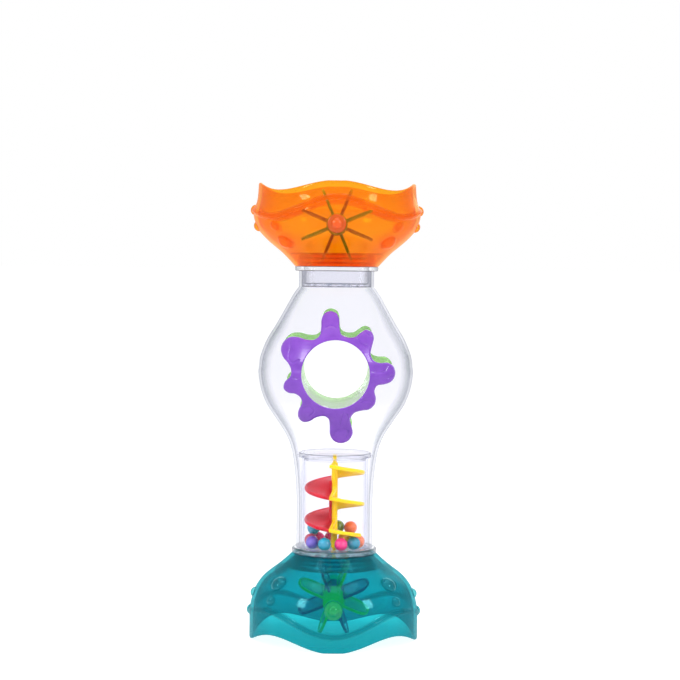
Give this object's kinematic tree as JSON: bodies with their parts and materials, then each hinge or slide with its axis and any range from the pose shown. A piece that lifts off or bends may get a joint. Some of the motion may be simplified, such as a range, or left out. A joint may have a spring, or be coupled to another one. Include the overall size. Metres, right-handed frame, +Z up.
{
  "type": "bath water wheel toy",
  "caption": "Hourglass water toy: scalloped cups with paddle wheels at both ends of a clear bulb with a finger tunnel and a rain chamber with a spiral and beads.",
  "frame": {"origin": "centre of the lower cup's rim plane, on the surface that the toy stands on", "axes": "+Z up along the toy's axis, -Y towards the side with the purple splash trim, X across; both axles and the finger tunnel lie along Y"},
  "size_m": [0.0874, 0.0876, 0.2276],
  "materials": {
    "orange_translucent": "polished, see-through",
    "teal_translucent": "polished, see-through",
    "clear_plastic": "polished, clear",
    "trim_purple": "glossy",
    "trim_green": "glossy",
    "wheel_green": "glossy, slightly see-through",
    "wheel_purple": "glossy, slightly see-through",
    "axle_white": "satin",
    "spiral_yellow": "glossy",
    "spiral_red": "glossy",
    "bead_purple": "glossy",
    "bead_blue": "glossy",
    "bead_pink": "glossy",
    "bead_teal": "glossy",
    "bead_orange": "glossy",
    "bead_crimson": "glossy",
    "bead_olive": "glossy",
    "bead_yellow": "glossy"
  },
  "bodies": {
    "body": {"upper_cup": "orange_translucent", "lower_cup": "teal_translucent", "housing_front": "clear_plastic", "housing_back": "clear_plastic", "finger_tunnel": "clear_plastic", "splash_ring_front": "trim_purple", "splash_ring_back": "trim_green", "strainer": "clear_plastic", "upper_lock_ring": "orange_translucent", "lower_lock_ring": "teal_translucent", "base_flange": "clear_plastic", "chamber_tube": "clear_plastic", "chamber_cap": "clear_plastic"},
    "upper_wheel": {"upper_wheel_green": "wheel_green", "upper_wheel_purple": "wheel_purple", "upper_axle_pin": "axle_white"},
    "lower_wheel": {"lower_wheel_green": "wheel_green", "lower_wheel_purple": "wheel_purple", "lower_axle_pin": "axle_white"},
    "spiral": {"spiral_yellow": "spiral_yellow", "spiral_red": "spiral_red", "beads_purple": "bead_purple", "beads_blue": "bead_blue", "beads_pink": "bead_pink", "beads_teal": "bead_teal", "beads_orange": "bead_orange", "beads_crimson": "bead_crimson", "beads_olive": "bead_olive", "beads_yellow": "bead_yellow"}
  },
  "joints": [
    {"name": "upper_wheel_spin", "type": "hinge", "parent": "body", "child": "upper_wheel", "pos_m": [0, 0, 0.207], "axis": [0, 1, 0], "continuous": true},
    {"name": "lower_wheel_spin", "type": "hinge", "parent": "body", "child": "lower_wheel", "pos_m": [0, 0, 0.0206], "axis": [0, 1, 0], "continuous": true},
    {"name": "spiral_spin", "type": "hinge", "parent": "body", "child": "spiral", "pos_m": [0, 0, 0.045], "axis": [0, 0, 1], "continuous": true}
  ]
}
